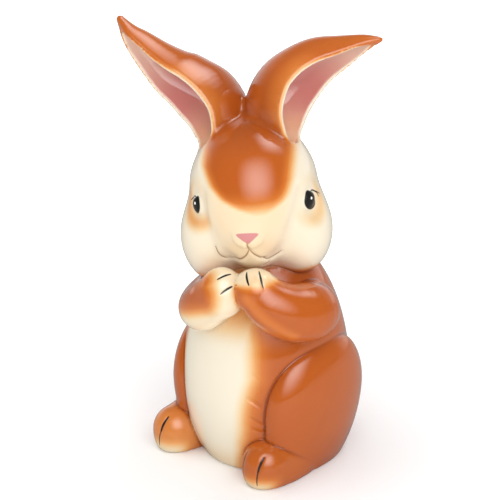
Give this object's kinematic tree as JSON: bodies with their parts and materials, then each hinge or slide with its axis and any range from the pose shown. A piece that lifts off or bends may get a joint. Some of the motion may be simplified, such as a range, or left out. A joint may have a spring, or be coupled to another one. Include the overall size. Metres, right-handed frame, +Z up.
{
  "type": "hare sculpture",
  "caption": "Sitting hare figurine in glazed ceramic, head turned, ears flared, paws held together under the chin; stands on its flat underside.",
  "frame": {"origin": "on the flat underside, under the middle of the belly", "axes": "+Z up, the belly faces -Y, the hare's left is +X"},
  "size_m": [0.1492, 0.1248, 0.2655],
  "materials": {
    "glazed_ceramic": "airbrushed orange brown and cream under a clear gloss glaze, pink inside the ears"
  },
  "bodies": {
    "root": {"hare": "glazed_ceramic"}
  },
  "joints": []
}
